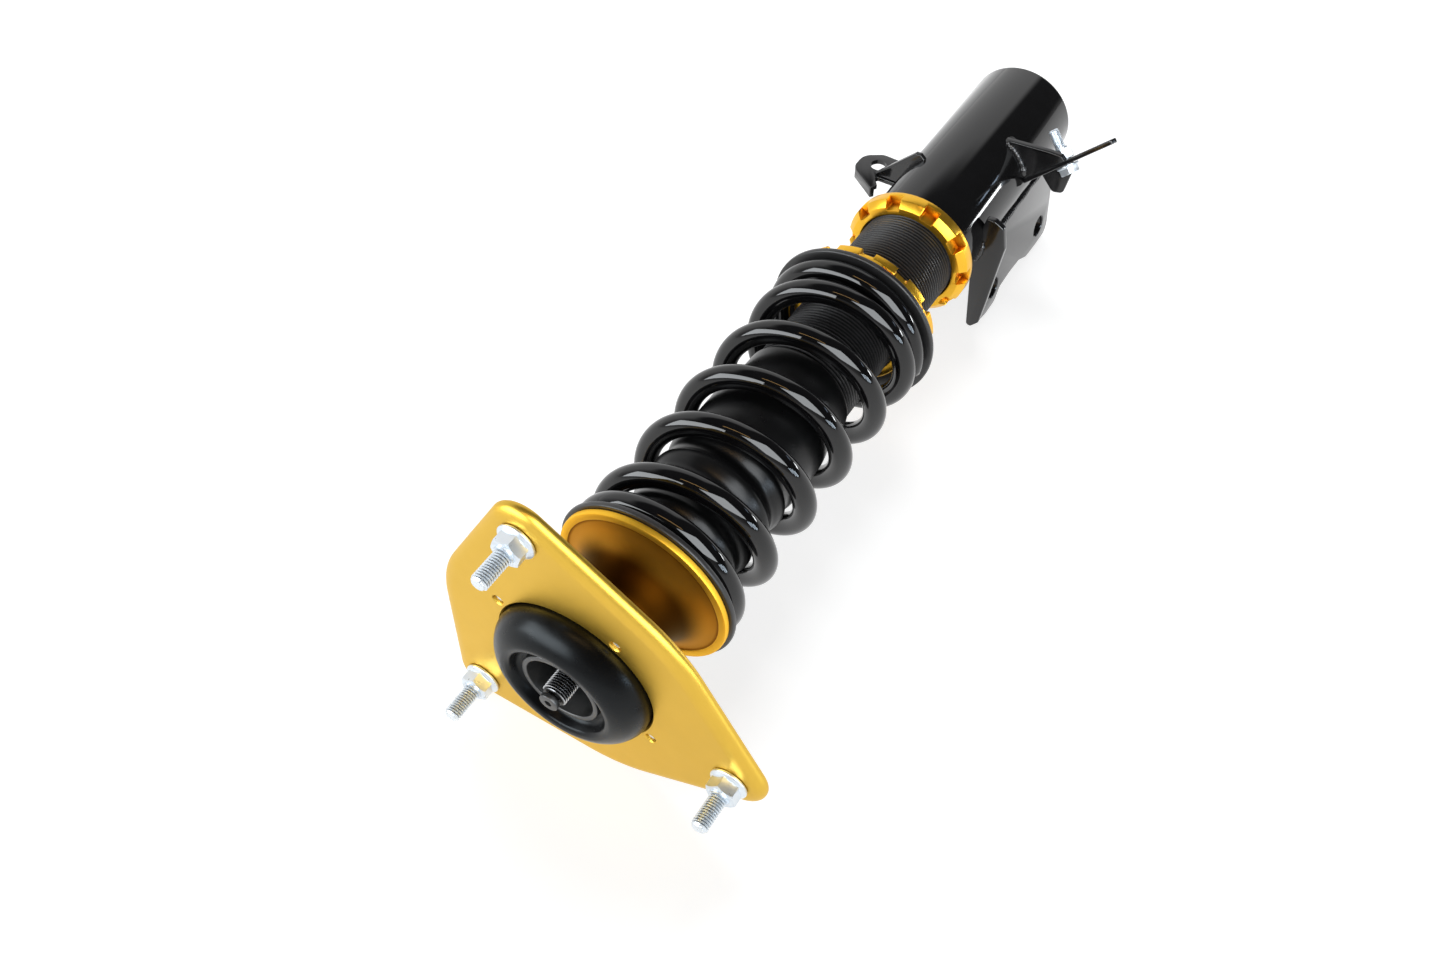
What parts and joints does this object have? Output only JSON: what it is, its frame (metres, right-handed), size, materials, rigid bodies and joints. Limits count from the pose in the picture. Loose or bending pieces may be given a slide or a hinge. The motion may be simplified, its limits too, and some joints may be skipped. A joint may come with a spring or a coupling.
{
  "type": "coilover strut",
  "caption": "Car suspension strut: threaded damper in a knuckle bracket, coil spring between an adjustable perch and a swivelling upper seat, and a three-stud top mount plate.",
  "frame": {"origin": "centre of the closed lower end face of the bracket tube, on the strut axis", "axes": "+Z along the strut axis up to the top mount; the knuckle ears point to -Y; +X is towards the sensor-line bracket side"},
  "size_m": [0.1637, 0.1625, 0.4725],
  "materials": {
    "black_gloss": "gloss black powder coat",
    "black_bracket": "satin-gloss black powder coat",
    "zinc": "bright bluish zinc plate",
    "gold_ring": "bright gold anodised, turned",
    "black_thread": "satin black, fine thread",
    "steel": "machined",
    "rubber": "satin moulded rubber",
    "foam": "cellular urethane",
    "spring_black": "gloss black powder coat",
    "gold_seat": "bright gold anodised, polished cone",
    "gold_plate": "satin gold anodised",
    "chrome": "hard chrome, polished",
    "bronze": "bearing cage",
    "plastic": "low-friction band"
  },
  "bodies": {
    "lower_bracket": {"bracket_tube": "black_gloss", "bottom_cap": "black_gloss", "knuckle_ear_right": "black_bracket", "knuckle_ear_left": "black_bracket", "ear_fin_right": "black_bracket", "ear_web_plate": "black_bracket", "hose_tab_left": "black_bracket", "hose_tab_gusset_left": "black_bracket", "line_gusset_right": "black_bracket", "line_arm_right": "black_bracket", "line_bolt": "zinc", "line_nut": "zinc"},
    "lock_ring": {"lower_lock_ring": "gold_ring"},
    "damper_body": {"threaded_body": "black_thread", "body_base_plug": "steel", "floating_piston": "steel", "floating_piston_o_ring": "rubber", "rod_guide": "steel", "rod_seal": "rubber", "gland_nut": "black_thread"},
    "spring_stack": {"lower_spring_isolator": "rubber", "coil_spring": "spring_black"},
    "perch_rings": {"spring_perch": "gold_ring", "perch_lock_ring": "gold_ring"},
    "upper_seat": {"upper_spring_seat": "gold_seat", "upper_spring_isolator": "rubber", "bearing_lower_race": "chrome", "dust_boot": "rubber", "bump_stop": "foam"},
    "top_mount": {"mount_plate": "gold_plate", "mount_stud_1": "zinc", "mount_stud_2": "zinc", "mount_stud_3": "zinc", "stud_flange_nut_1": "zinc", "stud_flange_nut_2": "zinc", "stud_flange_nut_3": "zinc", "mount_rubber": "rubber", "mount_rubber_retainer": "black_thread", "retainer_pin_1": "zinc", "retainer_pin_2": "zinc", "retainer_pin_3": "zinc", "retainer_pin_4": "zinc", "mount_inner_sleeve": "steel", "rod_washer": "steel", "rod_nut": "steel", "piston_rod": "chrome", "bearing_upper_race": "chrome", "bearing_ball_cage": "bronze", "piston": "steel", "piston_band": "plastic", "piston_nut": "steel"},
    "adjuster": {"damping_adjuster_stem": "steel"}
  },
  "joints": [
    {"name": "lock_ring_turn", "type": "hinge", "parent": "lower_bracket", "child": "lock_ring", "pos_m": [0, 0, 0.144], "axis": [0, 0, 1], "range_deg": [-3600, 3600]},
    {"name": "ride_height", "type": "slide", "parent": "lower_bracket", "child": "damper_body", "axis": [0, 0, 1], "range_m": [-0.02, 0.02]},
    {"name": "preload_height", "type": "slide", "parent": "damper_body", "child": "spring_stack", "axis": [0, 0, 1], "range_m": [-0.01, 0.01]},
    {"name": "perch_turn", "type": "hinge", "parent": "spring_stack", "child": "perch_rings", "pos_m": [0, 0, 0.2], "axis": [0, 0, 1], "range_deg": [-1800, 1800]},
    {"name": "stroke", "type": "slide", "parent": "spring_stack", "child": "upper_seat", "axis": [0, 0, 1], "range_m": [-0.078, 0], "deforming": ["coil_spring", "dust_boot", "bump_stop"]},
    {"name": "steer_swivel", "type": "hinge", "parent": "upper_seat", "child": "top_mount", "pos_m": [0, 0, 0.4225], "axis": [0, 0, 1], "range_deg": [-40, 40]},
    {"name": "damping_click", "type": "hinge", "parent": "top_mount", "child": "adjuster", "pos_m": [0, 0, 0.465], "axis": [0, 0, 1], "range_deg": [0, 540]}
  ],
  "couplings": [
    {"joint": "lock_ring_turn", "follows": "ride_height", "rad_per_m": -3141.6},
    {"joint": "perch_turn", "follows": "preload_height", "rad_per_m": 3141.6}
  ]
}
